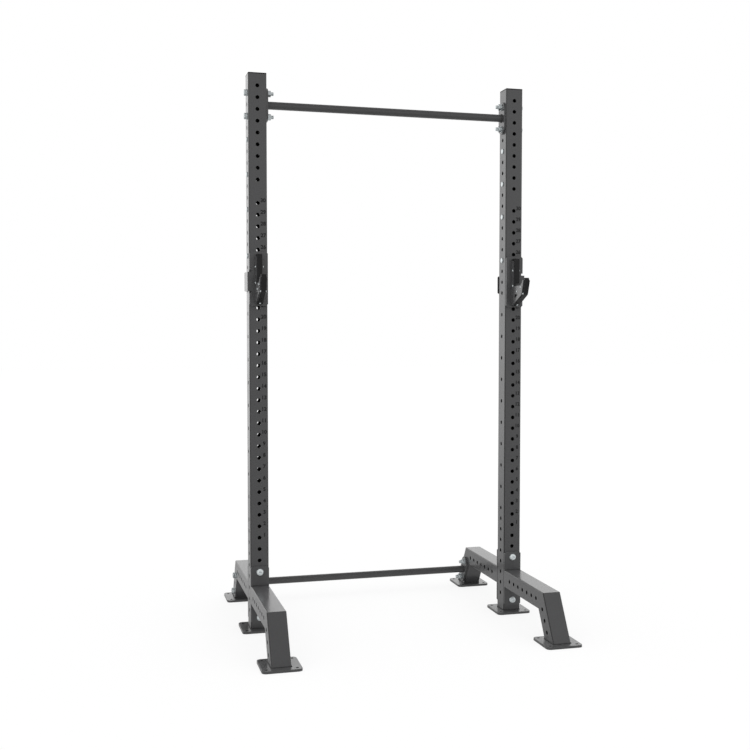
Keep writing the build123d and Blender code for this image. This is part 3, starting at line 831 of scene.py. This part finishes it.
class STAND_OT_stage(Operator):
    """Set up the pale floor, the studio light and the camera."""

    bl_idname = "stand.stage"
    bl_label = "Stage"

    def execute(self, context):
        scene = context.scene
        scene.view_settings.view_transform = "Standard"
        self.add_floor(context)
        self.add_camera(scene)
        self.add_world(scene)
        return {"FINISHED"}

    def add_floor(self, context):
        """Large level square under the stand, white to the camera but for the stand's shadow.

        The paint and its glow together come to 1 in the camera. In reflections the floor is dim in
        front of the stand and turns white far behind it, like a sweep.
        """
        reach = np.array((-30.0, 30.0))
        x, y = np.meshgrid(reach, reach)
        points = np.column_stack([x.ravel(), y.ravel(), np.full(4, -0.0005)])
        mesh = bpy.data.meshes.new("studio_floor")
        mesh.from_pydata(points.tolist(), [], [[0, 1, 3, 2]])
        material, tree, place = new_material("pale_studio_floor")
        paint = add_node(tree, "ShaderNodeBsdfDiffuse", Color=(*context.scene.stand_colours.floor, 1))
        path = add_node(tree, "ShaderNodeLightPath")
        behind = add_node(tree, "ShaderNodeSeparateXYZ", Vector=place).outputs["Y"]
        near = add_node(tree, "ShaderNodeMapRange", SMOOTH, Value=behind,
                        From_Min=-0.9, From_Max=-0.2, To_Min=0.1, To_Max=0.45)
        far = add_node(tree, "ShaderNodeMapRange", SMOOTH, Value=behind,
                       From_Min=1.5, From_Max=9.0, To_Min=0.0, To_Max=0.62)
        mirrored = add_node(tree, "ShaderNodeMath", {"operation": "ADD"}, (near.outputs[0], far.outputs[0]))
        level = add_node(tree, "ShaderNodeMix", {"data_type": "FLOAT"}, Factor=path.outputs["Is Glossy Ray"],
                         A=1.25, B=mirrored.outputs[0])
        glow = add_node(tree, "ShaderNodeEmission", Color=(1, 1, 1, 1), Strength=level.outputs["Result"])
        share = 0.0
        for kind, part in (("Is Camera Ray", 0.65), ("Is Transmission Ray", 0.65), ("Is Glossy Ray", 0.5)):
            ray = add_node(tree, "ShaderNodeMath", {"operation": "MULTIPLY"}, (path.outputs[kind], part))
            most = add_node(tree, "ShaderNodeMath", {"operation": "MAXIMUM"}, (share, ray.outputs[0]))
            share = most.outputs[0]
        shader = add_node(tree, "ShaderNodeMixShader", (), (share, paint.outputs[0], glow.outputs[0]))
        close_material(tree, shader)
        mesh.materials.append(material)
        floor = bpy.data.objects.new("studio_floor", mesh)
        context.scene.collection.objects.link(floor)

    def add_camera(self, scene):
        """Camera at the photograph's place and angle."""
        lens = bpy.data.cameras.new("stand_camera")
        lens.lens = scene.stand_sizes.lens
        lens.sensor_width = SENSOR_WIDTH
        camera = bpy.data.objects.new("stand_camera", lens)
        camera.location = CAMERA_PLACE
        camera.rotation_euler = (pi / 2 - CAMERA_TILT, 0, -CAMERA_TURN)
        scene.collection.objects.link(camera)
        scene.camera = camera

    def add_world(self, scene):
        """White studio all round, for the camera plain white.

        In reflections it is white behind and beside the stand and dims smoothly towards the ceiling
        and towards the front, where 0.8 |x| + y is lowest and the camera stands.
        """
        world = bpy.data.worlds.new("white_studio")
        world.use_nodes = True
        tree = world.node_tree
        tree.nodes.clear()
        path = add_node(tree, "ShaderNodeLightPath")
        direction = add_node(tree, "ShaderNodeTexCoord").outputs["Generated"]
        way = add_node(tree, "ShaderNodeSeparateXYZ", Vector=direction)
        aside = add_node(tree, "ShaderNodeMath", {"operation": "ABSOLUTE"}, (way.outputs["X"],))
        around = add_node(tree, "ShaderNodeMath", {"operation": "MULTIPLY_ADD"},
                          (aside.outputs[0], 0.8, way.outputs["Y"]))
        front = add_node(tree, "ShaderNodeMapRange", SMOOTH, Value=around.outputs[0],
                         From_Min=-0.6, From_Max=0.05, To_Min=0.42, To_Max=1.0)
        ceiling = add_node(tree, "ShaderNodeMapRange", SMOOTH, Value=way.outputs["Z"],
                           From_Min=0.3, From_Max=0.8, To_Min=1.0, To_Max=0.25)
        mirrored = add_node(tree, "ShaderNodeMath", {"operation": "MULTIPLY"},
                            (front.outputs["Result"], ceiling.outputs["Result"]))
        level = add_node(tree, "ShaderNodeMix", {"data_type": "FLOAT"}, Factor=path.outputs["Is Glossy Ray"],
                         A=1.0, B=mirrored.outputs[0])
        sky = add_node(tree, "ShaderNodeBackground", Color=(1, 1, 1, 1), Strength=level.outputs["Result"])
        add_node(tree, "ShaderNodeOutputWorld", Surface=sky.outputs[0])
        scene.world = world


class STAND_PT_looks(Panel):
    """Sidebar panel with the stand's steps and values."""

    bl_label = "Squat stand"
    bl_idname = "STAND_PT_looks"
    bl_space_type = "VIEW_3D"
    bl_region_type = "UI"
    bl_category = "Stand"

    def draw(self, context):
        for step in STEPS:
            self.layout.operator(step.bl_idname)
        for group in (context.scene.stand_sizes, context.scene.stand_colours):
            for name in group.__annotations__:
                self.layout.prop(group, name)


STEPS = (
    STAND_OT_frame, STAND_OT_hooks, STAND_OT_washers, STAND_OT_nuts, STAND_OT_bar_bolts,
    STAND_OT_bracket_bolts, STAND_OT_plugs, STAND_OT_numbers, STAND_OT_welds, STAND_OT_hook_screws,
    STAND_OT_stage,
)
CLASSES = (StandSizes, StandColours, *STEPS, STAND_PT_looks)


def register():
    """Register the classes and hang the values on the scene."""
    for kind in CLASSES:
        bpy.utils.register_class(kind)
    bpy.types.Scene.stand_sizes = PointerProperty(type=StandSizes)
    bpy.types.Scene.stand_colours = PointerProperty(type=StandColours)


def unregister():
    """Undo what register does."""
    del bpy.types.Scene.stand_colours
    del bpy.types.Scene.stand_sizes
    for kind in reversed(CLASSES):
        bpy.utils.unregister_class(kind)


def main():
    """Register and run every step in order."""
    register()
    for step in STEPS:
        group, name = step.bl_idname.split(".")
        getattr(getattr(bpy.ops, group), name)()


if __name__ == "__main__":
    main()
